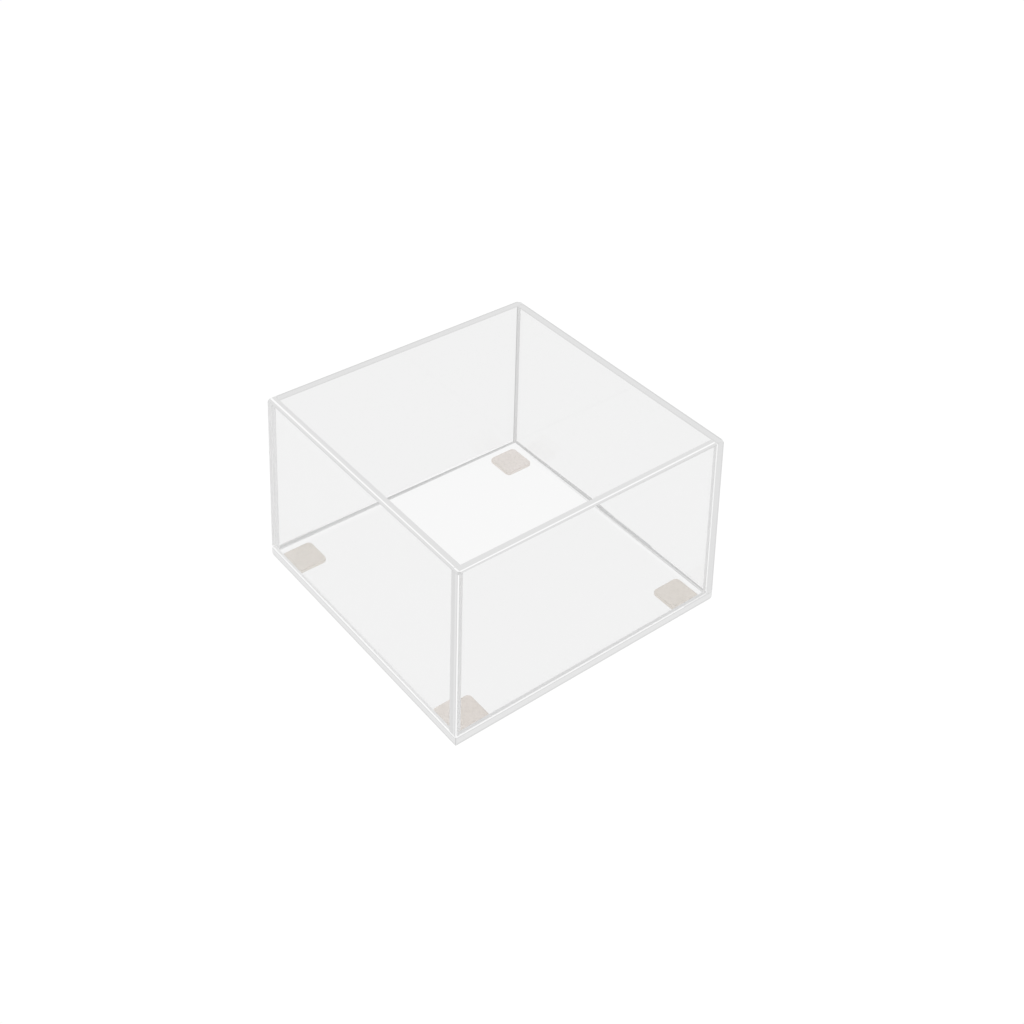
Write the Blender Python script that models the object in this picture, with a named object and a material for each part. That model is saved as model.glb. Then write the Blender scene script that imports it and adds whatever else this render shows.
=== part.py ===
"""Open-topped display cube in clear 5 mm acrylic sheet, on four non-slip pads.

Five cut panels are bonded edge to face: four walls stand on a full-size base
panel and turn round it like a pinwheel, so that each wall covers the end of
one neighbour and is covered by the other. A thin film of cured cement fills
every joint. Four square pads, each under its own adhesive film, sit under the
corners of the base panel.

Metres, +Z up. The origin is the centre of the footprint, on the plane that the
pads rest on. -Y is the front, +X is the right.
"""

import math

import bmesh
import bpy

# ------------------------------------------------------------------- panels
SIDE = 0.180          # outside of the square footprint
SHEET = 0.005         # thickness of every panel
WALL_HEIGHT = 0.100   # cut height of a wall panel
OUTER_ROUND = 0.0012  # flame-polished outside arrises
INNER_ROUND = 0.0003  # broken inside arrises and joint edges
ROUND_STEPS = 4

# ------------------------------------------------------------------- joints
BOND = 0.0003                   # gap between two bonded pieces
FILM = 0.0002                   # thickness of the film in that gap
SLACK = (BOND - FILM) / 2       # clearance on each side of the film
CEMENT_INSET = 2 * INNER_ROUND  # from the panel faces and ends to the cement

# --------------------------------------------------------------------- pads
PAD_SIDE = 0.019            # 3/4 in square pad
PAD_CORNER = 0.0026         # radius of its corners in plan
PAD_CORNER_STEPS = 8
PAD_THICKNESS = 0.0020
PAD_LOWER_ROUND = 0.0004    # softened lower edge
PAD_UPPER_ROUND = PAD_LOWER_ROUND / 2
PAD_ROUND_STEPS = 2
PAD_CENTRE = 0.0743         # from the cube's centre lines to a pad's centre
ADHESIVE_SIDE = 0.0182
ADHESIVE_CORNER = 0.0022
ADHESIVE_CORNER_STEPS = 4

# ---------------------------------------------------------- faces and levels
HALF = SIDE / 2             # centre to the outside faces
INNER = HALF - SHEET        # centre to the inside faces
WALL_END = INNER - BOND     # centre to the covered end of a wall
BASE_BOTTOM = PAD_THICKNESS + BOND
BASE_TOP = BASE_BOTTOM + SHEET
WALL_BOTTOM = BASE_TOP + BOND
WALL_TOP = WALL_BOTTOM + WALL_HEIGHT
SAME_PLACE = 1e-6           # coordinates closer than this are equal

# ---------------------------------------------------------------- materials
ACRYLIC = {"colour": (0.93, 0.94, 0.94), "roughness": 0.03, "alpha": 0.25}
CEMENT = {"colour": (0.96, 0.97, 0.97), "roughness": 0.12, "alpha": 0.55}
RUBBER = {"colour": (0.74, 0.70, 0.66), "roughness": 0.75, "alpha": 1.0}
ADHESIVE = {"colour": (0.90, 0.89, 0.86), "roughness": 0.4, "alpha": 0.6}
ACRYLIC_IOR = 1.49          # refractive index, shared by every material

# Each wall in order of quarter turns from the front, with the corner where
# its covered end meets the next wall.
WALLS = (
    ("front", "front_right"),
    ("right", "back_right"),
    ("back", "back_left"),
    ("left", "front_left"),
)


def clear_scene():
    for obj in list(bpy.data.objects):
        bpy.data.objects.remove(obj, do_unlink=True)


def material(name, colour, roughness, alpha):
    mat = bpy.data.materials.new(name)
    mat.use_nodes = True
    inputs = mat.node_tree.nodes["Principled BSDF"].inputs
    inputs["Base Color"].default_value = (*colour, 1.0)
    inputs["Roughness"].default_value = roughness
    inputs["IOR"].default_value = ACRYLIC_IOR
    inputs["Alpha"].default_value = alpha
    return mat


# ------------------------------------------------------------- mesh helpers
def add_object(name, bm, mat):
    """Turns a bmesh into a smooth-shaded object with sharp edges marked."""
    bmesh.ops.recalc_face_normals(bm, faces=bm.faces)
    mesh = bpy.data.meshes.new(name)
    bm.to_mesh(mesh)
    bm.free()
    obj = bpy.data.objects.new(name, mesh)
    bpy.context.scene.collection.objects.link(obj)
    mesh.materials.append(mat)
    mesh.shade_smooth()
    mesh.set_sharp_from_angle(angle=math.radians(30))
    return obj


def block(low, high):
    """An axis-aligned block between two opposite corners."""
    bm = bmesh.new()
    size = [b - a for a, b in zip(low, high)]
    middle = [(a + b) / 2 for a, b in zip(low, high)]
    bmesh.ops.create_cube(bm, size=1.0)
    bmesh.ops.scale(bm, vec=size, verts=bm.verts)
    bmesh.ops.translate(bm, vec=middle, verts=bm.verts)
    return bm


def rounded_square(side, radius, bottom, top, corner_steps):
    """A square plate with rounded corners, centred on the Z axis."""
    bm = bmesh.new()
    arc_centre = side / 2 - radius
    ring = []
    for quarter in range(4):
        centre_x = arc_centre if quarter in (0, 3) else -arc_centre
        centre_y = arc_centre if quarter in (0, 1) else -arc_centre
        for step in range(corner_steps + 1):
            angle = (quarter + step / corner_steps) * math.pi / 2
            x = centre_x + radius * math.cos(angle)
            y = centre_y + radius * math.sin(angle)
            ring.append(bm.verts.new((x, y, bottom)))
    face = bm.faces.new(ring)
    lifted = bmesh.ops.extrude_face_region(bm, geom=[face])["geom"]
    top_verts = [item for item in lifted if isinstance(item, bmesh.types.BMVert)]
    bmesh.ops.translate(bm, vec=(0, 0, top - bottom), verts=top_verts)
    return bm


def add_rounded_object(name, bm, mat, edge_round, width, steps):
    """Adds an object whose edges are bevelled by edge_round(edge middle).

    The largest round is the bevel's width; each edge's weight is its share.
    """
    weight = bm.edges.layers.float.new("bevel_weight_edge")
    for edge in bm.edges:
        start, end = (vert.co for vert in edge.verts)
        edge[weight] = edge_round((start + end) / 2) / width
    obj = add_object(name, bm, mat)
    bevel = obj.modifiers.new("arris", "BEVEL")
    bevel.limit_method = "WEIGHT"
    bevel.width = width
    bevel.segments = steps
    bevel.profile = 0.5  # circular
    return obj


def near(a, b):
    return abs(a - b) < SAME_PLACE


def turn(obj, quarter_turns):
    obj.rotation_euler = (0.0, 0.0, quarter_turns * math.pi / 2)


# ------------------------------------------------------------------- panels
def panel(name, low, high, edge_round, mat):
    return add_rounded_object(
        name, block(low, high), mat, edge_round, width=OUTER_ROUND, steps=ROUND_STEPS
    )


def base_edge_round(middle):
    corner = near(abs(middle.x), HALF) and near(abs(middle.y), HALF)
    bottom = near(middle.z, BASE_BOTTOM)
    return OUTER_ROUND if corner or bottom else INNER_ROUND


def base_panel():
    low = (-HALF, -HALF, BASE_BOTTOM)
    high = (HALF, HALF, BASE_TOP)
    mat = material("clear_acrylic_base", **ACRYLIC)
    panel("base_panel", low, high, base_edge_round, mat)


# A wall and its cement are drawn for the front and turned about Z for the
# other three. Drawn there, the outside face is at y = -HALF, the free end is
# at x = -HALF, and the covered end stops at the inside of the right wall.
def wall_edge_round(middle):
    outside = near(middle.y, -HALF)
    top = near(middle.z, WALL_TOP)
    free_end = near(middle.x, -HALF)
    rim = top and (outside or free_end)
    cube_corner = free_end and outside
    return OUTER_ROUND if rim or cube_corner else INNER_ROUND


def wall(place, quarter_turns):
    low = (-HALF, -HALF, WALL_BOTTOM)
    high = (WALL_END, -INNER, WALL_TOP)
    mat = material(f"clear_acrylic_{place}", **ACRYLIC)
    turn(panel(f"{place}_wall", low, high, wall_edge_round, mat), quarter_turns)


# ------------------------------------------------------------------- cement
def cement(place, joint, low, high, quarter_turns):
    mat = material(f"cement_{place}", **CEMENT)
    turn(add_object(f"cement_{place}_{joint}", block(low, high), mat), quarter_turns)


def base_cement(place, quarter_turns):
    """The film between a wall's lower edge and the base."""
    low = (-HALF + CEMENT_INSET, -HALF + CEMENT_INSET, BASE_TOP + SLACK)
    high = (WALL_END - CEMENT_INSET, -INNER - CEMENT_INSET, WALL_BOTTOM - SLACK)
    cement(place, "base", low, high, quarter_turns)


def corner_cement(corner, quarter_turns):
    """The upright film between a wall's covered end and the next wall."""
    low = (WALL_END + SLACK, -HALF + CEMENT_INSET, WALL_BOTTOM + CEMENT_INSET)
    high = (INNER - SLACK, -INNER - CEMENT_INSET, WALL_TOP - CEMENT_INSET)
    cement(corner, "corner", low, high, quarter_turns)


# --------------------------------------------------------------------- pads
def pad_edge_round(middle):
    if near(middle.z, 0.0):
        return PAD_LOWER_ROUND
    if near(middle.z, PAD_THICKNESS):
        return PAD_UPPER_ROUND
    return 0.0


def pad(place, x, y):
    bm = rounded_square(PAD_SIDE, PAD_CORNER, 0.0, PAD_THICKNESS, PAD_CORNER_STEPS)
    mat = material(f"pad_rubber_{place}", **RUBBER)
    obj = add_rounded_object(
        f"pad_{place}", bm, mat, pad_edge_round,
        width=PAD_LOWER_ROUND, steps=PAD_ROUND_STEPS,
    )
    obj.location = (x, y, 0.0)


def pad_adhesive(place, x, y):
    """The film between a pad and the base."""
    bottom = PAD_THICKNESS + SLACK
    bm = rounded_square(
        ADHESIVE_SIDE, ADHESIVE_CORNER, bottom, bottom + FILM, ADHESIVE_CORNER_STEPS
    )
    mat = material(f"adhesive_{place}", **ADHESIVE)
    obj = add_object(f"pad_adhesive_{place}", bm, mat)
    obj.location = (x, y, 0.0)


def main():
    clear_scene()
    base_panel()
    for quarter_turns, (place, corner) in enumerate(WALLS):
        wall(place, quarter_turns)
        base_cement(place, quarter_turns)
        corner_cement(corner, quarter_turns)
    for depth, y in (("front", -PAD_CENTRE), ("back", PAD_CENTRE)):
        for side, x in (("left", -PAD_CENTRE), ("right", PAD_CENTRE)):
            pad(f"{depth}_{side}", x, y)
            pad_adhesive(f"{depth}_{side}", x, y)


main()
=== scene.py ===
import math

import bmesh
import bpy
from mathutils import Matrix, Vector


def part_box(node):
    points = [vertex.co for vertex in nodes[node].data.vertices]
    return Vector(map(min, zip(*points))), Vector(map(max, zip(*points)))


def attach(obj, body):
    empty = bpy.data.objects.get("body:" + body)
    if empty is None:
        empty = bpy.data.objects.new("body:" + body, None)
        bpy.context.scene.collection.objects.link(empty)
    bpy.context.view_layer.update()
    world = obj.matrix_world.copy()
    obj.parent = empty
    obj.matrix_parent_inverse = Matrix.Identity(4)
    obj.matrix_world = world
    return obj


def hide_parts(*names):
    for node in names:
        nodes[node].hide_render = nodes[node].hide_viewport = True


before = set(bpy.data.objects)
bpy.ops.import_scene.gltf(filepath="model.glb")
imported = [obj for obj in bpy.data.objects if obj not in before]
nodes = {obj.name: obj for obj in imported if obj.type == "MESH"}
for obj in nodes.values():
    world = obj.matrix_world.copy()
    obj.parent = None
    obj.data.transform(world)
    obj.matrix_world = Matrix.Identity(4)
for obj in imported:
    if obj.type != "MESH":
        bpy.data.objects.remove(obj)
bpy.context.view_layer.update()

scene = bpy.context.scene

# ------------------------------------------------------------------- helpers
WALLS = ("front_wall", "right_wall", "back_wall", "left_wall")
X, Y, Z = Vector((1, 0, 0)), Vector((0, 1, 0)), Vector((0, 0, 1))


def linear(value):
    v = value / 255.0
    return v / 12.92 if v <= 0.04045 else ((v + 0.055) / 1.055) ** 2.4


def tone(*values):
    if len(values) == 1:
        values = values * 3
    return tuple(linear(v) for v in values) + (1.0,)


class Nodes:
    """A short hand for building a node tree."""

    def __init__(self, tree):
        self.tree = tree
        self.tree.nodes.clear()

    def add(self, kind, inputs=None, **settings):
        node = self.tree.nodes.new(kind)
        for key, value in settings.items():
            setattr(node, key, value)
        for key, value in (inputs or {}).items():
            socket = node.inputs[key]
            if isinstance(value, bpy.types.NodeSocket):
                self.tree.links.new(value, socket)
            else:
                socket.default_value = value
        return node

    def math(self, operation, a, b=0.0, c=0.0):
        return self.add(
            "ShaderNodeMath", {0: a, 1: b, 2: c}, operation=operation
        ).outputs[0]

    def ramp(self, value, low, high, to_low=0.0, to_high=1.0):
        return self.add(
            "ShaderNodeMapRange",
            {
                "Value": value,
                "From Min": low,
                "From Max": high,
                "To Min": to_low,
                "To Max": to_high,
            },
        ).outputs[0]

    def mix(self, factor, a, b, blend="MIX"):
        node = self.add("ShaderNodeMix", data_type="RGBA", blend_type=blend)
        for socket, value in ((0, factor), (6, a), (7, b)):
            if isinstance(value, bpy.types.NodeSocket):
                self.tree.links.new(value, node.inputs[socket])
            else:
                node.inputs[socket].default_value = value
        return node.outputs[2]

    def blend(self, factor, a, b):
        """A plain number between a and b."""
        return self.add(
            "ShaderNodeMix", {0: factor, 2: a, 3: b}, data_type="FLOAT"
        ).outputs[0]

    def shaders(self, factor, a, b):
        return self.add("ShaderNodeMixShader", {0: factor, 1: a, 2: b}).outputs[0]

    def noise(self, vector, scale, detail=3.0):
        return self.add(
            "ShaderNodeTexNoise", {"Vector": vector, "Scale": scale, "Detail": detail}
        ).outputs["Fac"]

    def place(self, shift=(0.0, 0.0, 0.0), stretch=(1.0, 1.0, 1.0)):
        """The point on the piece in its own metres, moved and stretched."""
        at = self.add("ShaderNodeTexCoord").outputs["Object"]
        return self.add(
            "ShaderNodeMapping", {"Vector": at, "Location": shift, "Scale": stretch}
        ).outputs[0]


def new_material(name):
    mat = bpy.data.materials.new(name)
    mat.use_nodes = True
    return mat, Nodes(mat.node_tree)


def let_soft_light_in(n, surface):
    """Scattered light reaches what the clear sheets enclose, and a sheet's
    faint mirror image leaves out the other sheets."""
    path = n.add("ShaderNodeLightPath")
    direct = n.math("LESS_THAN", path.outputs["Transmission Depth"], 0.5)
    mirrored = n.math("MULTIPLY", path.outputs["Is Reflection Ray"], direct)
    clear = n.add("ShaderNodeBsdfTransparent", {"Color": (1, 1, 1, 1)}).outputs[0]
    skip = n.math("MAXIMUM", path.outputs["Is Diffuse Ray"], mirrored)
    return n.shaders(skip, surface, clear)


# ----------------------------------------------------------------- materials
WALL_TINT = 0.957     # light a wall takes off what is seen through it


def acrylic(name, seed, tint, grain_along):
    """Clear cast acrylic. The broad faces are polished and slightly wavy. The cut edges
    have a satin finish with fine tool marks along them, and take their share of scatter
    and their brightness from the mesh. That brightness is partly painted light: painted
    highlights and painted shade."""
    mat, n = new_material(name)
    frost = n.add("ShaderNodeAttribute", attribute_name="frost").outputs["Fac"]
    shade = n.add("ShaderNodeAttribute", attribute_name="shade").outputs["Fac"]

    cloud = n.noise(n.place((seed * 0.37, seed * 0.21, seed * 0.11)), 30.0)
    marks_at = n.place(
        (seed * 0.07, 0.0, 0.0), tuple(0.03 if v else 1.0 for v in grain_along)
    )
    marks = n.noise(marks_at, 2600.0, 2.0)
    speck = n.noise(n.place((0.0, seed * 0.13, 0.0)), 1500.0, 4.0)
    cut = n.math("GREATER_THAN", frost, 0.001)

    rough = n.blend(
        cut,
        n.ramp(cloud, 0.35, 0.75, 0.0, 0.006),
        n.ramp(marks, 0.3, 0.7, 0.10, 0.22),
    )
    height = n.blend(cut, cloud, n.math("ADD", marks, n.math("MULTIPLY", speck, 0.5)))
    bump = n.add(
        "ShaderNodeBump",
        {
            "Strength": n.blend(cut, 0.015, 0.06),
            "Distance": 0.00005,
            "Height": height,
        },
    ).outputs[0]
    mirror = n.blend(cut, 0.1, 1.0)
    mirror = n.add("ShaderNodeCombineColor", {0: mirror, 1: mirror, 2: mirror})
    glass = n.add(
        "ShaderNodeBsdfPrincipled",
        {
            "Base Color": tint,
            "Specular Tint": mirror.outputs[0],
            "Roughness": rough,
            "IOR": 1.49,
            "Transmission Weight": 1.0,
            "Specular IOR Level": n.blend(cut, 0.02, 0.4),
            "Normal": bump,
        },
    ).outputs[0]
    grey = n.add("ShaderNodeCombineColor", {0: shade, 1: shade, 2: shade}).outputs[0]
    mottled = n.mix(n.ramp(marks, 0.25, 0.75, 0.0, 0.035), grey, (0.62, 0.63, 0.63, 1.0))
    satin = n.add(
        "ShaderNodeBsdfPrincipled",
        {
            "Base Color": mottled,
            "Roughness": n.ramp(speck, 0.3, 0.7, 0.30, 0.42),
            "IOR": 1.49,
            "Specular IOR Level": 0.25,
            "Normal": bump,
        },
    ).outputs[0]
    surface = n.shaders(frost, glass, satin)
    n.add("ShaderNodeOutputMaterial", {"Surface": let_soft_light_in(n, surface)})
    return mat


def cement(name, seed, value, share):
    """Cured cement: a clear film clouded by fine bubbles."""
    mat, n = new_material(name)
    cloud = n.noise(n.place((seed * 0.05, seed * 0.03, 0.0)), 420.0, 4.0)
    bubbles = n.add(
        "ShaderNodeTexVoronoi", {"Vector": n.place(), "Scale": 1400.0}
    ).outputs["Distance"]
    milky = n.math("MULTIPLY", n.ramp(cloud, 0.25, 0.75, 0.9, 1.05), share)
    glass = n.add(
        "ShaderNodeBsdfPrincipled",
        {
            "Base Color": (1.0, 1.0, 1.0, 1.0),
            "Roughness": n.ramp(bubbles, 0.0, 0.4, 0.22, 0.06),
            "IOR": 1.46,
            "Transmission Weight": 1.0,
            "Specular IOR Level": 0.2,
        },
    ).outputs[0]
    colour = n.mix(n.ramp(bubbles, 0.0, 0.35), tone(value - 5), tone(value + 2))
    scatter = n.add(
        "ShaderNodeBsdfPrincipled",
        {"Base Color": colour, "Roughness": 0.4, "Specular IOR Level": 0.2},
    ).outputs[0]
    surface = n.shaders(milky, glass, scatter)
    n.add("ShaderNodeOutputMaterial", {"Surface": let_soft_light_in(n, surface)})
    return mat


def adhesive(name, seed):
    """The pad's own clear adhesive. It wets the sheet, so it hardly shows."""
    mat, n = new_material(name)
    cloud = n.noise(n.place((seed * 0.09, 0.0, 0.0)), 500.0, 4.0)
    clear = n.add("ShaderNodeBsdfTransparent", {"Color": (1, 1, 1, 1)}).outputs[0]
    film = n.add(
        "ShaderNodeBsdfPrincipled",
        {
            "Base Color": n.mix(cloud, tone(232, 227, 222), tone(240, 236, 232)),
            "Roughness": 0.3,
            "Specular IOR Level": 0.2,
        },
    ).outputs[0]
    surface = n.shaders(n.ramp(cloud, 0.45, 0.75, 0.0, 0.08), clear, film)
    n.add("ShaderNodeOutputMaterial", {"Surface": surface})
    return mat


# How much each pad's own tone differs from the others'.
PAD_TONE = {
    "pad_front_left": (-3, -3, -5),
    "pad_front_right": (3, 2, 2),
    "pad_back_right": (1, 1, 0),
}


def rubber(name, seed):
    """Moulded warm grey rubber with a fine matt grain."""
    mat, n = new_material(name)
    grain = n.noise(n.place(), 3200.0, 5.0)
    cloud = n.noise(n.place((seed * 0.11, 0.0, 0.0)), 160.0)
    red, green, blue = PAD_TONE.get(name.replace("rubber_", ""), (0, 0, 0))
    colour = n.mix(
        n.ramp(cloud, 0.3, 0.7),
        tone(225 + red, 219 + green, 214 + blue),
        tone(228 + red, 222 + green, 218 + blue),
    )
    colour = n.mix(n.ramp(grain, 0.62, 0.75, 0.0, 0.35), colour, tone(206, 199, 192))
    low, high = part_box(name.replace("rubber_", ""))
    middle, half = (low + high) / 2, (high.x - low.x) / 2
    at = n.add(
        "ShaderNodeSeparateXYZ", {0: n.add("ShaderNodeNewGeometry").outputs["Position"]}
    )
    reach = n.math(
        "MAXIMUM",
        n.math("ABSOLUTE", n.math("SUBTRACT", at.outputs[0], middle.x)),
        n.math("ABSOLUTE", n.math("SUBTRACT", at.outputs[1], middle.y)),
    )
    facing = n.add(
        "ShaderNodeSeparateXYZ", {0: n.add("ShaderNodeNewGeometry").outputs["Normal"]}
    ).outputs[2]
    border = n.math(
        "MULTIPLY",
        n.ramp(reach, half - 0.0006, half - 0.0003, 0.0, 0.45),
        n.ramp(facing, 0.2, 0.8, 0.35, 1.0),
    )
    colour = n.mix(border, colour, tone(204, 197, 186))
    # seen through a wall as well as the base, a pad looks a little darker
    depth = n.add("ShaderNodeLightPath").outputs["Transmission Depth"]
    dull = n.math("GREATER_THAN", depth, 2.5)
    colour = n.mix(dull, colour, (0.945, 0.94, 0.92, 1.0), "MULTIPLY")
    bump = n.add(
        "ShaderNodeBump", {"Strength": 0.25, "Distance": 0.00005, "Height": grain}
    ).outputs[0]
    surface = n.add(
        "ShaderNodeBsdfPrincipled",
        {
            "Base Color": colour,
            "Roughness": n.ramp(grain, 0.3, 0.7, 0.55, 0.8),
            "IOR": 1.45,
            "Specular IOR Level": 0.3,
            "Normal": bump,
        },
    ).outputs[0]
    n.add("ShaderNodeOutputMaterial", {"Surface": surface})
    return mat


# -------------------------------------------------------------------- panels
SMALL = 0.0002        # broken edges at the joints and inside
CORNER = 0.00025      # rounding of the box's own vertical corners
NEAR_CORNER = 0.0009  # the nearest one is rounder
CLIP = 0.0019         # rounding of the outer corners of the rim and the base
# The rim's outer edge on the two near walls, as distances in from the outside
# face and down from the top, in metres. It is fuller towards the far ends.
CROWN = {
    "front_far": ((0.00265, 0.0), (0.00170, 0.00005), (0.00060, 0.00022),
                  (0.00020, 0.00045), (0.0, 0.00090)),
    "front_near": ((0.00185, 0.0), (0.00095, 0.00005), (0.00045, 0.00025),
                   (0.00015, 0.00050), (0.0, 0.00085)),
    "right_near": ((0.00150, 0.0), (0.00075, 0.00004), (0.00035, 0.00012),
                   (0.00012, 0.00020), (0.0, 0.00030)),
    "right_far": ((0.00240, 0.0), (0.00150, 0.00005), (0.00055, 0.00022),
                  (0.00020, 0.00045), (0.0, 0.00090)),
}


class Sheet:
    """A convex sheet cut from a block by planes. Every face keeps how much of
    its light is scattered (frost) and how bright that part is (shade)."""

    def __init__(self, low, high, finish):
        self.bm = bmesh.new()
        self.frost = self.bm.faces.layers.float.new("frost")
        self.shade = self.bm.faces.layers.float.new("shade")
        bmesh.ops.create_cube(self.bm, size=1.0)
        bmesh.ops.scale(self.bm, vec=high - low, verts=self.bm.verts)
        bmesh.ops.translate(self.bm, vec=(low + high) / 2, verts=self.bm.verts)
        bmesh.ops.recalc_face_normals(self.bm, faces=self.bm.faces)
        self.bm.normal_update()
        self.low, self.high = low, high
        for face in self.bm.faces:
            self.paint(face, finish(face.normal))

    def paint(self, face, finish):
        face[self.frost], face[self.shade] = finish[0], linear(finish[1])

    def cut(self, point, normal, finish):
        geom = list(self.bm.verts) + list(self.bm.edges) + list(self.bm.faces)
        made = bmesh.ops.bisect_plane(
            self.bm, geom=geom, dist=1e-8, plane_co=point, plane_no=normal,
            clear_outer=True,
        )
        edges = [e for e in made["geom_cut"] if isinstance(e, bmesh.types.BMEdge)]
        if len(edges) < 3:
            return
        new = bmesh.ops.contextual_create(self.bm, geom=edges)["faces"]
        for face in new:
            self.paint(face, finish)

    def split(self, point, normal):
        """Divides the faces that a plane crosses. The shape stays as it is."""
        geom = list(self.bm.verts) + list(self.bm.edges) + list(self.bm.faces)
        bmesh.ops.bisect_plane(
            self.bm, geom=geom, dist=1e-8, plane_co=point, plane_no=normal
        )
        self.bm.normal_update()

    def side(self, way):
        """The point on the block's surface farthest along way, per axis."""
        return Vector(
            self.high[i] if way[i] > 0 else self.low[i] if way[i] < 0 else 0.0
            for i in range(3)
        )

    def round_edge(self, a, b, radius, finish, steps=2):
        """Rounds the edge between the faces that look along a and b."""
        corner = self.side(a + b)
        for step in range(steps):
            angle = (step + 0.5) / steps * math.pi / 2
            out = math.cos(angle) * a + math.sin(angle) * b
            look = finish[step] if isinstance(finish, list) else finish
            self.cut(corner - (a + b) * radius + out * radius, out, look)

    def chamfer(self, a, b, along_a, along_b, finish):
        """Cuts the same edge once, by along_a on b's face and along_b on a's."""
        normal = (a * along_b + b * along_a).normalized()
        self.cut(self.side(a + b) - a * along_a, normal, finish)

    def clip(self, a, b, up, radius, finish, steps=5):
        """Rounds the block's corner between three sides, seen as a profile."""
        corner = self.side(a + b + up)
        way = (a + b).normalized()
        for step in range(steps):
            angle = (step + 0.5) / steps * math.pi / 2
            out = math.cos(angle) * way + math.sin(angle) * up
            self.cut(corner - (way + up) * radius + out * radius, out, finish)

    def strip(self, face, toward, start, stop, finish, along=Z, lean=0.0):
        """Paints a strip of the face that looks along face, between two
        distances from the block's side that looks along toward. With a lean,
        the strip gets wider along its length."""
        slant = toward + along * lean
        edge = self.side(toward).dot(toward)
        if start > 0.0:
            self.split(toward * (edge - start), toward)
        self.split(toward * (edge - stop), slant.normalized())
        for item in self.bm.faces:
            middle = item.calc_center_median()
            if (
                item.normal.dot(face) > 0.999
                and edge - middle.dot(toward) > start
                and edge - middle.dot(slant) < stop
            ):
                self.paint(item, finish)

    def crown(self, out, toward, there, here, finishes):
        """Shapes the rim's outer edge on the side that looks along out, with
        one profile at the end that toward points to and another at the other."""
        ends = (self.side(out + toward + Z), self.side(out - toward + Z))
        for step, finish in enumerate(finishes):
            points = [
                end - out * profile[i][0] - Z * profile[i][1]
                for end, profile in zip(ends, (there, here))
                for i in (step, step + 1)
            ]
            length = (points[0] + points[1]) - (points[2] + points[3])
            across = (points[0] + points[2]) - (points[1] + points[3])
            normal = length.cross(across).normalized()
            if normal.z < 0.0:
                normal.negate()
            self.cut(sum(points, Vector()) / 4, normal, finish)

    def mitre(self, a, b, depth, finish):
        """Eases the crown's mitre where its two sides meet."""
        corner = self.side(a + b + Z)
        profile = CROWN["front_near"]
        for (u0, w0), (u1, w1) in zip(profile[1:], profile[2:]):
            across, up = w1 - w0, u0 - u1
            normal = ((a + b) * across + Z * 2.0 * up).normalized()
            self.cut(corner - (a + b) * u0 - Z * w0 - normal * depth, normal, finish)

    def border(self, face, across, outer, inner):
        """Paints both borders of a cut face darker. The outer one is along the side that
        across looks to."""
        self.strip(face, across, 0.0, 0.0011, outer)
        self.strip(face, -across, 0.0, 0.0009, inner)

    def dull_groove(self, side, toward, length, finish):
        """Repaints the groove's face along side, near its end at toward."""
        edge = self.side(toward)
        self.split(edge - toward * length, toward)
        for item in self.bm.faces:
            deep = (edge - item.calc_center_median()).dot(toward)
            if item.normal.dot(side) > 0.2 and item.normal.z > 0.2 and deep < length:
                self.paint(item, finish)

    def finish(self, name):
        mesh = bpy.data.meshes.new(name)
        bmesh.ops.recalc_face_normals(self.bm, faces=self.bm.faces)
        self.bm.to_mesh(mesh)
        self.bm.free()
        mesh.shade_smooth()
        mesh.set_sharp_from_angle(angle=math.radians(50))
        obj = bpy.data.objects.new(name, mesh)
        scene.collection.objects.link(obj)
        weighted = obj.modifiers.new("flat_faces", "WEIGHTED_NORMAL")
        weighted.mode = "FACE_AREA"
        weighted.weight = 100
        weighted.keep_sharp = True
        return obj


CLEAR = (0.0, 240)
# painted highlight: the groove at a joint is painted white where light catches it
GROOVE_HIGHLIGHT = (1.0, 255)    # light catches in the groove at a joint
OUTLINE = (1.0, 219)   # a turned edge of a cut face is a little darker
BORDER = (1.0, 223)    # and so are the borders of the face,
DARKEST_BORDER = (1.0, 218)      # most of all on the outside
# painted highlight along the rim's outer edge
LINE = (1.0, 255)      # the rim's outer edge, where it turns to the light
SLOPE = (1.0, 227)     # and below it
# Finish of each cut edge: share of scatter, then brightness of it. The brightness is
# partly painted light: the same cut finish is painted lighter on some walls and darker
# on others, with painted highlights where light would catch and painted shade where it
# would fall.
FINISH_AND_PAINTED_LIGHT = {
    "front_wall": {
        "out": -Y, "end": -X, "rim": (1.0, 227), "free": (1.0, 227),
        "foot": (1.0, 231), "bonded": (1.0, 225), "groove": GROOVE_HIGHLIGHT,
        "butt": (1.0, 224), "inner": (1.0, 224),
    },
    "right_wall": {
        "out": X, "end": -Y, "rim": (1.0, 227), "free": (1.0, 227),
        "foot": (1.0, 221), "bonded": (1.0, 226), "groove": (1.0, 250),
        "butt": GROOVE_HIGHLIGHT, "inner": (1.0, 225),
        # the near vertical corner: painted highlight on its middle facets, painted shade
        # on the facets either side
        "corner": [(1.0, 208), LINE, LINE, LINE, (1.0, 212), (1.0, 212)],
    },
    "back_wall": {
        "out": Y, "end": X, "rim": (1.0, 228), "free": (1.0, 225),
        "foot": (1.0, 203), "bonded": (1.0, 216), "groove": (1.0, 210),
        # its inner foot edge is painted bright, standing in for the light seen through
        # it
        "inner_foot": (1.0, 252),
        "butt": (1.0, 224), "inner": GROOVE_HIGHLIGHT,
    },
    "left_wall": {
        "out": -X, "end": Y, "rim": (1.0, 228), "free": (1.0, 227),
        "foot": (1.0, 201), "bonded": (1.0, 222), "groove": (1.0, 231),
        "butt": (1.0, 224), "inner": (1.0, 226),
    },
}


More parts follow.
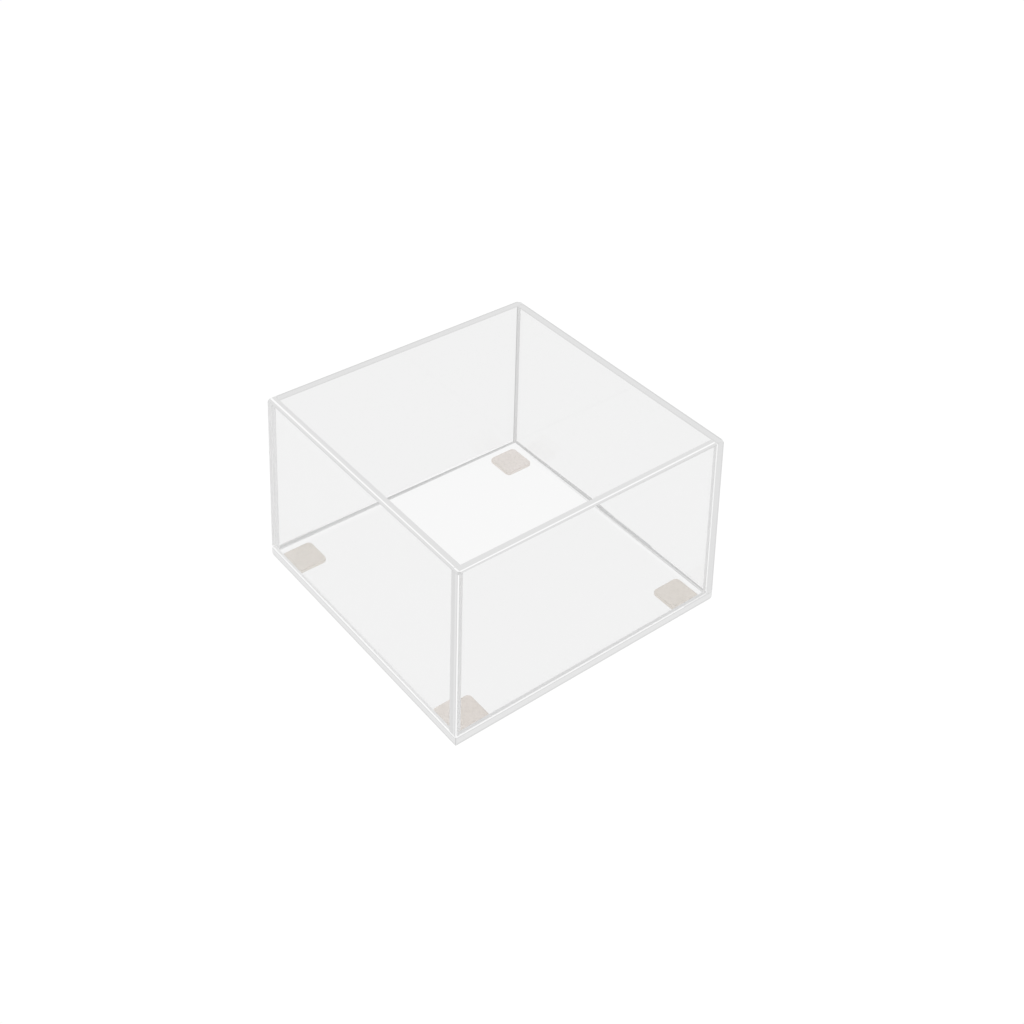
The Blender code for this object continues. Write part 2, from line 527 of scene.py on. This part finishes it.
def make_wall(name):
    low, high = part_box(name)
    look = FINISH_AND_PAINTED_LIGHT[name]
    out, end = look["out"], look["end"]

    def finish(normal):
        if normal.z > 0.9:
            return look["rim"]
        if normal.z < -0.9:
            return look["foot"]
        if normal.dot(end) > 0.9:
            return look["free"]
        if normal.dot(end) < -0.9:
            return look["bonded"]
        return CLEAR

    sheet = Sheet(low, high, finish)
    if name == "right_wall":
        # the near corner is painted with a highlight down its middle and painted shade
        # beside it
        sheet.round_edge(out, end, NEAR_CORNER, look["corner"], 6)
    else:
        sheet.round_edge(out, end, CORNER, OUTLINE, 2)
        sheet.clip(out, end, Z, CLIP, look["rim"])
    # on the two near walls the top facet of the crowned rim edge carries a painted
    # highlight
    bands = (LINE, SLOPE, SLOPE, OUTLINE)
    if name == "front_wall":
        sheet.crown(out, X, CROWN["front_near"], CROWN["front_far"], bands)
    elif name == "right_wall":
        sheet.crown(out, Y, CROWN["right_far"], CROWN["right_near"], bands)
    else:
        sheet.round_edge(out, Z, SMALL, OUTLINE)
    if name == "right_wall":
        sheet.crown(end, X, CROWN["front_near"], CROWN["front_near"], bands)
        # the mitre where the two crowns meet is painted dark, as shade
        sheet.mitre(out, end, 0.00016, (1.0, 212))
    else:
        sheet.round_edge(end, Z, SMALL, OUTLINE)
    sheet.round_edge(-out, Z, SMALL, OUTLINE)
    sheet.round_edge(-end, Z, SMALL / 2, look["rim"])
    groove = 0.0007 if name == "front_wall" else 0.00055
    sheet.chamfer(out, -Z, 0.00012, groove, look["groove"])
    groove_faces = (out * groove - Z * 0.00012).normalized()
    sheet.round_edge(-out, -Z, SMALL, look.get("inner_foot", look["foot"]))
    sheet.round_edge(end, -Z, SMALL, look["groove"])
    sheet.round_edge(-end, -Z, SMALL, look["foot"])
    sheet.round_edge(-out, end, SMALL, look["inner"])
    sheet.round_edge(-out, -end, SMALL, look["bonded"])
    # at the right wall the edge at the back joint is wider and painted white, a painted
    # highlight
    butt = 0.00045 if name == "right_wall" else SMALL
    sheet.round_edge(out, -end, butt, look["butt"])
    if name in ("back_wall", "left_wall"):
        sheet.border(Z, out, DARKEST_BORDER, BORDER)
    if name == "back_wall":
        sheet.border(end, out, DARKEST_BORDER, BORDER)
    if name == "front_wall":
        # the cement has wetted the outer end of the joint behind it
        sheet.strip(-out, end, 0.0, 0.0009, (1.0, 228))
    if name == "right_wall":
        # the inner half of the exposed end is painted a little darker
        sheet.strip(end, -out, 0.0, 0.0026, (1.0, 219))
    if name == "left_wall":
        # cement that has crept out of the joint behind it, painted dark as shade, and a
        # foot that the cement leaves dry along its outer edge, painted bright as the
        # light seen through it
        sheet.strip(-out, end, 0.0047, 0.00545, (1.0, 196))
        sheet.strip(-Z, out, 0.0, 0.0012, (1.0, 253), Y, 0.0141)
        # the groove's face is painted bright over most of its length, a painted
        # highlight
        sheet.strip(groove_faces, end, 0.0, 0.150, (1.0, 251))
    if name == "back_wall":
        # Cement that has crept out under its outside face, painted dark as shade, more
        # towards the middle, where it tapers off, and the parts of its foot that the
        # cement leaves dry, painted bright as the light seen through them: along the
        # inside, and along the outside towards the right.
        crept_cement_shade, dry_foot_painted_bright = (1.0, 207), (1.0, 255)
        sheet.strip(out, -Z, 0.0, 0.0018, crept_cement_shade, X, 0.0159)
        sheet.strip(out, X, 0.0, -0.086, CLEAR, Z, 20.0)
        sheet.strip(out, -Z, 0.0, 0.00075, crept_cement_shade)
        sheet.strip(out, X, 0.0, -0.111, CLEAR, Z, 20.0)
        sheet.strip(-Z, -out, 0.0, 0.00175, dry_foot_painted_bright)
        sheet.strip(-Z, X, 0.0, 0.095, look["foot"])
        sheet.strip(-Z, -out, 0.0, 0.00103, dry_foot_painted_bright, -X, 0.0037)
        sheet.strip(-Z, out, 0.0, -0.00149, dry_foot_painted_bright, X, 0.0373)
        # the groove's face is painted bright towards the right end, a painted highlight
        sheet.strip(groove_faces, X, 0.0, 0.050, (1.0, 251))
    return sheet.finish(name + "_sheet")


def make_base(name):
    low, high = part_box(name)
    edge = (1.0, 230)
    sheet = Sheet(low, high, lambda normal: CLEAR if abs(normal.z) > 0.9 else edge)
    for a, b in ((X, Y), (Y, -X), (-X, -Y), (-Y, X)):
        # the nearest corner's middle facets are painted dark, as shade
        if (a, b) == (-Y, X):
            dark = (1.0, 206)
            sheet.round_edge(a, b, 0.0010, [edge, edge, dark, dark, edge, edge], 6)
        else:
            sheet.round_edge(a, b, CORNER, edge, 3)
    # the top edges along the front and right are painted bright in their grooves,
    # painted highlights; the other two keep the edge's tone
    for way, width, groove in (
        (X, 0.0004, (1.0, 250)),
        (-Y, 0.0004, GROOVE_HIGHLIGHT),
        (Y, SMALL, edge),
        (-X, SMALL, edge),
    ):
        sheet.round_edge(way, -Z, 0.00025, (1.0, 223))
        sheet.round_edge(way, Z, width, groove)
    for a, b in ((X, Y), (-X, -Y)):
        sheet.clip(a, b, -Z, CLIP, edge)
    for way in (X, -Y):
        sheet.border(way, -Z, DARKEST_BORDER, DARKEST_BORDER)
    # cement along the left and back walls' feet, painted dark as shade, and painted
    # highlights in the two bright grooves along the front and right
    sheet.strip(Z, -X, 0.0047, 0.0053, (1.0, 207))
    sheet.strip(Z, Y, 0.0047, 0.0051, (1.0, 207), X, 0.005)
    sheet.strip(Z, -Y, 0.0004, 0.0012, GROOVE_HIGHLIGHT)
    sheet.strip(Z, X, 0.0004, 0.0012, (1.0, 247))
    # no painted highlight in the groove under the back wall's exposed end
    sheet.dull_groove(X, Y, 0.022, edge)
    return sheet.finish(name + "_sheet")


for index, name in enumerate(("base_panel",) + WALLS):
    is_base = name == "base_panel"
    piece = make_base(name) if is_base else make_wall(name)
    tint = (1.0, 1.0, 1.0, 1.0) if is_base else (WALL_TINT, WALL_TINT, WALL_TINT, 1.0)
    along = (name in ("front_wall", "back_wall") or is_base,
             name in ("right_wall", "left_wall") or is_base, False)
    piece.data.materials.append(acrylic("acrylic_" + name, index + 1, tint, along))
    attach(piece, "root")
    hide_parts(name)

# each joint's cement has its own painted tone: the one cement is painted light at some
# joints and dark at others, painted highlight and painted shade as light falls on them
CEMENT = {
    "cement_front_base": (250, 0.8), "cement_right_base": (244, 0.8),
    "cement_back_base": (206, 0.85), "cement_left_base": (206, 0.85),
    "cement_front_right_corner": (222, 0.85), "cement_back_right_corner": (240, 0.9),
    "cement_back_left_corner": (214, 0.85), "cement_front_left_corner": (226, 0.85),
}
for index, (name, obj) in enumerate(sorted(nodes.items())):
    if name in CEMENT:
        mat = cement("cured_" + name, index, *CEMENT[name])
    elif name.startswith("pad_adhesive"):
        mat = adhesive("film_" + name, index)
    elif name.startswith("pad_"):
        mat = rubber("rubber_" + name, index)
    else:
        continue
    for slot in obj.material_slots:
        slot.material = mat

# --------------------------------------------------------------- floor, light
UNDER_BASE = 0.0897   # half the floor that shows through the base alone
UNDER_WALL = 0.0865   # the same where a wall is in front of it too


def build_stage():
    """A pale floor and a pale surrounding. Both are plain light, so the clear box casts
    no shadow, as under a wide diffuser. Their brightness is set by the kind of ray and
    by how many sheets it has gone through, and on the floor also by whether it lies
    under the box: painted tones that stand in for the light the sheets take off what is
    seen through them."""
    mesh = bpy.data.meshes.new("studio_floor")
    bm = bmesh.new()
    bmesh.ops.create_grid(bm, x_segments=1, y_segments=1, size=12.0)
    bm.to_mesh(mesh)
    bm.free()
    floor = bpy.data.objects.new("studio_floor", mesh)
    floor.location.z = -0.0001
    scene.collection.objects.link(floor)
    mat, n = new_material("pale_floor")
    path = n.add("ShaderNodeLightPath")
    position = n.add("ShaderNodeNewGeometry").outputs["Position"]
    at = n.add("ShaderNodeSeparateXYZ", {0: position})
    reach = n.math(
        "MAXIMUM",
        n.math("ABSOLUTE", at.outputs[0]),
        n.math("ABSOLUTE", at.outputs[1]),
    )
    many = n.math("GREATER_THAN", path.outputs["Transmission Depth"], 2.5)
    under = n.math("LESS_THAN", reach, n.blend(many, UNDER_BASE, UNDER_WALL))
    outside = n.mix(many, tone(246.5), tone(251.8))
    inside = n.mix(many, tone(250), tone(247.8))
    seen = n.mix(under, outside, inside)
    seen = n.mix(path.outputs["Is Diffuse Ray"], seen, (1, 1, 1, 1))
    seen = n.mix(path.outputs["Is Camera Ray"], seen, (1.02, 1.02, 1.02, 1))
    light = n.add("ShaderNodeEmission", {"Color": seen, "Strength": 1.0}).outputs[0]
    n.add("ShaderNodeOutputMaterial", {"Surface": light})
    mat.cycles.emission_sampling = "NONE"
    mesh.materials.append(mat)

    world = bpy.data.worlds.new("studio")
    scene.world = world
    world.use_nodes = True
    n = Nodes(world.node_tree)
    path = n.add("ShaderNodeLightPath")
    many = n.math("GREATER_THAN", path.outputs["Transmission Depth"], 2.5)
    colour = n.mix(many, tone(206), tone(224))
    height = n.add(
        "ShaderNodeSeparateXYZ", {0: n.add("ShaderNodeTexCoord").outputs["Generated"]}
    ).outputs[2]
    low = n.mix(many, tone(246.5), tone(251.8))
    colour = n.mix(n.ramp(height, 0.16, 0.26), low, colour)
    colour = n.mix(path.outputs["Is Diffuse Ray"], colour, (1, 1, 1, 1))
    colour = n.mix(path.outputs["Is Camera Ray"], colour, (1.02, 1.02, 1.02, 1))
    back = n.add("ShaderNodeBackground", {"Color": colour, "Strength": 1.0}).outputs[0]
    n.add("ShaderNodeOutputWorld", {"Surface": back})
    world.cycles.sampling_method = "NONE"

    scene.view_settings.view_transform = "Standard"
    scene.view_settings.look = "None"
    cycles = scene.cycles
    cycles.max_bounces = 40
    cycles.transmission_bounces = 40
    cycles.glossy_bounces = 40
    cycles.diffuse_bounces = 8
    cycles.transparent_max_bounces = 48
    cycles.caustics_reflective = True
    cycles.caustics_refractive = True


build_stage()


def add_camera():
    """The camera stands at the front right, with its lens shifted so that it
    looks down less steeply than the middle of its frame would."""
    home = Vector((0.602634, -0.476811, 0.641507))
    right = Vector((0.618442, 0.785463, 0.024025))
    up = Vector((-0.280523, 0.192107, 0.940426))
    back = Vector((0.734054, -0.588339, 0.339148))
    data = bpy.data.cameras.new("studio_camera")
    data.sensor_width = 36.0
    data.lens = 57.5174
    data.clip_start, data.clip_end = 0.01, 100.0
    camera = bpy.data.objects.new("studio_camera", data)
    camera.matrix_world = Matrix(
        (
            (right.x, up.x, back.x, home.x),
            (right.y, up.y, back.y, home.y),
            (right.z, up.z, back.z, home.z),
            (0, 0, 0, 1),
        )
    )
    scene.collection.objects.link(camera)
    scene.camera = camera
    for channel, value in (("shift_x", -0.000435), ("shift_y", -0.516994)):
        driver = data.driver_add(channel).driver
        driver.type = "SCRIPTED"
        for name, axis, home_value in (
            ("x", "LOC_X", home.x),
            ("y", "LOC_Y", home.y),
        ):
            variable = driver.variables.new()
            variable.name = name
            variable.type = "TRANSFORMS"
            target = variable.targets[0]
            target.id = camera
            target.transform_type = axis
            target.transform_space = "WORLD_SPACE"
        driver.expression = (
            f"{value} if abs(x - {home.x}) + abs(y - {home.y}) < 0.001 else 0.0"
        )


add_camera()
